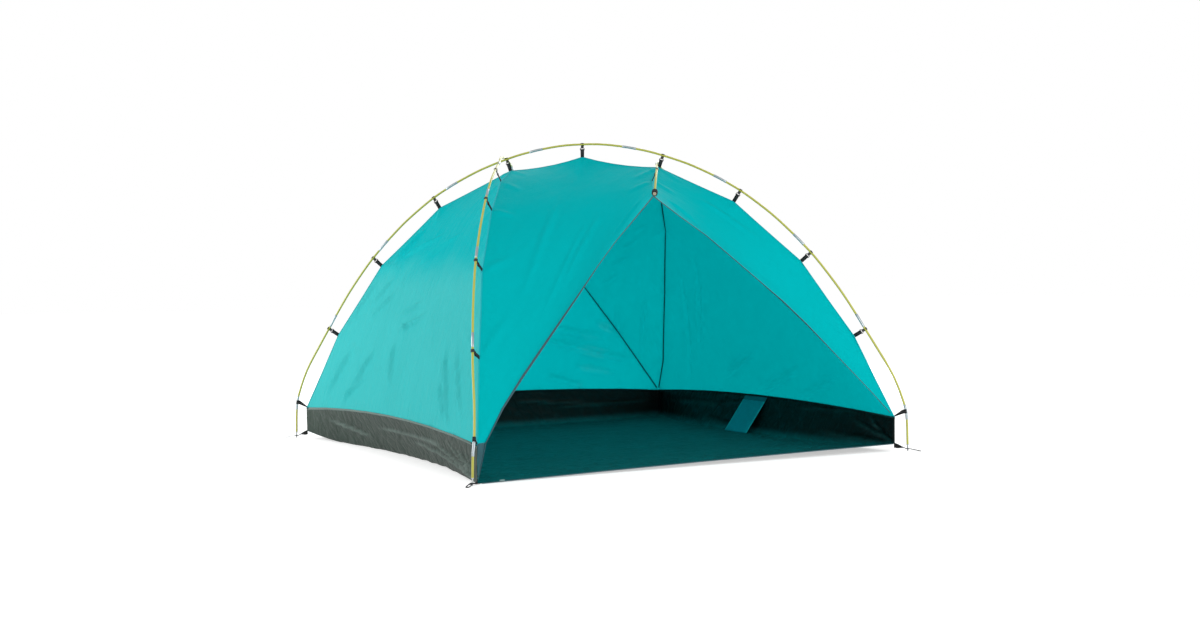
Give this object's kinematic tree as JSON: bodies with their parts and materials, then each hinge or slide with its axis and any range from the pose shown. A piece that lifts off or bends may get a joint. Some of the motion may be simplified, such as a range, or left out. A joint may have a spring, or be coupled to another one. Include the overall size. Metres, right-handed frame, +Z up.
{
  "type": "beach tent",
  "caption": "Pole-supported dome beach tent with an open front, bathtub floor and clip-on canopy.",
  "frame": {"origin": "floor centre at ground level, the bounding box's bottom centre", "axes": "+Z up, +X to the right along the open front's edge, +Y from the front to the back"},
  "size_m": [2.1692, 2.1692, 1.3883],
  "materials": {
    "canopy_teal": "matt coated polyester taffeta",
    "canopy_light_teal": "matt coated polyester taffeta",
    "tub_grey_green": "coated woven floor sheet, satin",
    "binding_grey": "woven binding tape, matt",
    "pole_yellow": "wrapped glass fibre rod, satin",
    "tip_silver": "satin",
    "webbing_black": "woven polypropylene webbing, matt",
    "hook_black": "moulded, satin",
    "cord_white": "braided elastic cord",
    "cap_beige": "moulded, matt"
  },
  "bodies": {
    "tent": {"bathtub_floor": "tub_grey_green", "brow_pole": "pole_yellow", "brow_pole_cap": "cap_beige", "brow_pole_shock_cord": "cord_white", "brow_sleeve": "webbing_black", "canopy_back_wall": "canopy_teal", "canopy_front_left_panel": "canopy_teal", "canopy_front_right_panel": "canopy_teal", "canopy_left_wall": "canopy_light_teal", "canopy_rear_gore": "canopy_teal", "canopy_right_wall": "canopy_teal", "foot_tip_brow_rear": "tip_silver", "foot_tip_left_front": "tip_silver", "foot_tip_left_rear": "tip_silver", "foot_tip_main_left": "tip_silver", "foot_tip_main_right": "tip_silver", "front_hem_binding": "binding_grey", "ground_strap_bl": "webbing_black", "ground_strap_br": "webbing_black", "ground_strap_fl": "webbing_black", "ground_strap_fr": "webbing_black", "left_pole": "pole_yellow", "left_pole_shock_cord": "cord_white", "main_pole": "pole_yellow", "main_pole_shock_cord": "cord_white", "opening_binding_left": "binding_grey", "opening_binding_right": "binding_grey", "seam_tape_brow_front": "webbing_black", "seam_tape_brow_rear": "webbing_black", "seam_tape_left_front": "webbing_black", "seam_tape_left_rear": "webbing_black", "seam_tape_main": "webbing_black", "stash_pocket": "canopy_teal"},
    "hook_brow_front": {"hook_brow_front": "hook_black"},
    "hook_brow_rear_1": {"hook_brow_rear_1": "hook_black"},
    "hook_brow_rear_2": {"hook_brow_rear_2": "hook_black"},
    "hook_brow_rear_3": {"hook_brow_rear_3": "hook_black"},
    "hook_brow_rear_4": {"hook_brow_rear_4": "hook_black"},
    "hook_left_front_1": {"hook_left_front_1": "hook_black"},
    "hook_left_front_2": {"hook_left_front_2": "hook_black"},
    "hook_left_front_3": {"hook_left_front_3": "hook_black"},
    "hook_left_front_4": {"hook_left_front_4": "hook_black"},
    "hook_left_rear_1": {"hook_left_rear_1": "hook_black"},
    "hook_left_rear_2": {"hook_left_rear_2": "hook_black"},
    "hook_left_rear_3": {"hook_left_rear_3": "hook_black"},
    "hook_left_rear_4": {"hook_left_rear_4": "hook_black"},
    "hook_main_apex": {"hook_main_apex": "hook_black"},
    "hook_main_left_1": {"hook_main_left_1": "hook_black"},
    "hook_main_left_2": {"hook_main_left_2": "hook_black"},
    "hook_main_left_3": {"hook_main_left_3": "hook_black"},
    "hook_main_left_4": {"hook_main_left_4": "hook_black"},
    "hook_main_right_1": {"hook_main_right_1": "hook_black"},
    "hook_main_right_2": {"hook_main_right_2": "hook_black"},
    "hook_main_right_3": {"hook_main_right_3": "hook_black"},
    "hook_main_right_4": {"hook_main_right_4": "hook_black"},
    "peg_loop_bl": {"peg_loop_bl": "webbing_black"},
    "peg_loop_br": {"peg_loop_br": "webbing_black"},
    "peg_loop_fl": {"peg_loop_fl": "webbing_black"},
    "peg_loop_fr": {"peg_loop_fr": "webbing_black"}
  },
  "joints": [
    {"name": "hook_brow_front_hinge", "type": "hinge", "parent": "tent", "child": "hook_brow_front", "pos_m": [0.13542, -0.42232, 1.22286], "axis": [0.5063, 0.7797, 0.3683], "range_deg": [0, 60]},
    {"name": "hook_brow_rear_1_hinge", "type": "hinge", "parent": "tent", "child": "hook_brow_rear_1", "pos_m": [0.4896, 0.10298, 1.23381], "axis": [-0.5552, -0.7591, 0.3397], "range_deg": [0, 60]},
    {"name": "hook_brow_rear_2_hinge", "type": "hinge", "parent": "tent", "child": "hook_brow_rear_2", "pos_m": [0.71397, 0.41805, 1.02446], "axis": [-0.4164, -0.6505, 0.6352], "range_deg": [0, 60]},
    {"name": "hook_brow_rear_3_hinge", "type": "hinge", "parent": "tent", "child": "hook_brow_rear_3", "pos_m": [0.86401, 0.6786, 0.69987], "axis": [-0.2646, -0.519, 0.8128], "range_deg": [0, 60]},
    {"name": "hook_brow_rear_4_hinge", "type": "hinge", "parent": "tent", "child": "hook_brow_rear_4", "pos_m": [0.98451, 0.89922, 0.32863], "axis": [-0.2485, -0.4525, 0.8564], "range_deg": [0, 60]},
    {"name": "hook_left_front_1_hinge", "type": "hinge", "parent": "tent", "child": "hook_left_front_1", "pos_m": [-0.44181, -0.02403, 1.23286], "axis": [0.5044, 0.8125, 0.2923], "range_deg": [0, 60]},
    {"name": "hook_left_front_2_hinge", "type": "hinge", "parent": "tent", "child": "hook_left_front_2", "pos_m": [-0.62136, -0.30637, 1.08943], "axis": [0.46, 0.7204, 0.519], "range_deg": [0, 60]},
    {"name": "hook_left_front_3_hinge", "type": "hinge", "parent": "tent", "child": "hook_left_front_3", "pos_m": [-0.80636, -0.60418, 0.82796], "axis": [0.3567, 0.6152, 0.7031], "range_deg": [0, 60]},
    {"name": "hook_left_front_4_hinge", "type": "hinge", "parent": "tent", "child": "hook_left_front_4", "pos_m": [-0.93551, -0.84947, 0.48181], "axis": [0.2239, 0.4893, 0.8429], "range_deg": [0, 60]},
    {"name": "hook_left_rear_1_hinge", "type": "hinge", "parent": "tent", "child": "hook_left_rear_1", "pos_m": [-0.06072, 0.54249, 1.24079], "axis": [-0.6062, -0.7388, 0.2946], "range_deg": [0, 60]},
    {"name": "hook_left_rear_2_hinge", "type": "hinge", "parent": "tent", "child": "hook_left_rear_2", "pos_m": [0.16789, 0.77781, 1.0944], "axis": [-0.6525, -0.4958, 0.5731], "range_deg": [0, 60]},
    {"name": "hook_left_rear_3_hinge", "type": "hinge", "parent": "tent", "child": "hook_left_rear_3", "pos_m": [0.44949, 0.94867, 0.80981], "axis": [-0.6386, -0.2447, 0.7296], "range_deg": [0, 60]},
    {"name": "hook_left_rear_4_hinge", "type": "hinge", "parent": "tent", "child": "hook_left_rear_4", "pos_m": [0.74543, 0.99188, 0.48107], "axis": [-0.6429, -0.0664, 0.7631], "range_deg": [0, 60]},
    {"name": "hook_main_apex_hinge", "type": "hinge", "parent": "tent", "child": "hook_main_apex", "pos_m": [0, 0, 1.35724], "axis": [-0.7071, 0.7071, 0], "range_deg": [0, 60]},
    {"name": "hook_main_left_1_hinge", "type": "hinge", "parent": "tent", "child": "hook_main_left_1", "pos_m": [-0.25532, 0.25532, 1.30168], "axis": [-0.6682, 0.6682, -0.327], "range_deg": [0, 60]},
    {"name": "hook_main_left_2_hinge", "type": "hinge", "parent": "tent", "child": "hook_main_left_2", "pos_m": [-0.51199, 0.51199, 1.13257], "axis": [-0.5987, 0.5987, -0.5321], "range_deg": [0, 60]},
    {"name": "hook_main_left_3_hinge", "type": "hinge", "parent": "tent", "child": "hook_main_left_3", "pos_m": [-0.73082, 0.73082, 0.85612], "axis": [-0.4667, 0.4667, -0.7512], "range_deg": [0, 60]},
    {"name": "hook_main_left_4_hinge", "type": "hinge", "parent": "tent", "child": "hook_main_left_4", "pos_m": [-0.89742, 0.89742, 0.52025], "axis": [-0.3698, 0.3698, -0.8523], "range_deg": [0, 60]},
    {"name": "hook_main_right_1_hinge", "type": "hinge", "parent": "tent", "child": "hook_main_right_1", "pos_m": [0.26404, -0.26404, 1.29742], "axis": [-0.6682, 0.6682, 0.327], "range_deg": [0, 60]},
    {"name": "hook_main_right_2_hinge", "type": "hinge", "parent": "tent", "child": "hook_main_right_2", "pos_m": [0.51199, -0.51199, 1.13257], "axis": [-0.5987, 0.5987, 0.5321], "range_deg": [0, 60]},
    {"name": "hook_main_right_3_hinge", "type": "hinge", "parent": "tent", "child": "hook_main_right_3", "pos_m": [0.73082, -0.73082, 0.85612], "axis": [-0.4667, 0.4667, 0.7512], "range_deg": [0, 60]},
    {"name": "hook_main_right_4_hinge", "type": "hinge", "parent": "tent", "child": "hook_main_right_4", "pos_m": [0.89742, -0.89742, 0.52025], "axis": [-0.3698, 0.3698, 0.8523], "range_deg": [0, 60]},
    {"name": "peg_loop_bl_hinge", "type": "hinge", "parent": "tent", "child": "peg_loop_bl", "pos_m": [-1.04594, 1.04594, 0.01], "axis": [0.7071, 0.7071, 0], "range_deg": [0, 75]},
    {"name": "peg_loop_br_hinge", "type": "hinge", "parent": "tent", "child": "peg_loop_br", "pos_m": [1.04578, 1.04578, 0.01], "axis": [0.7071, -0.7071, 0], "range_deg": [0, 75]},
    {"name": "peg_loop_fl_hinge", "type": "hinge", "parent": "tent", "child": "peg_loop_fl", "pos_m": [-1.04563, -1.04563, 0.01], "axis": [-0.7071, 0.7071, 0], "range_deg": [0, 75]},
    {"name": "peg_loop_fr_hinge", "type": "hinge", "parent": "tent", "child": "peg_loop_fr", "pos_m": [1.04594, -1.04594, 0.01], "axis": [-0.7071, -0.7071, 0], "range_deg": [0, 75]}
  ]
}
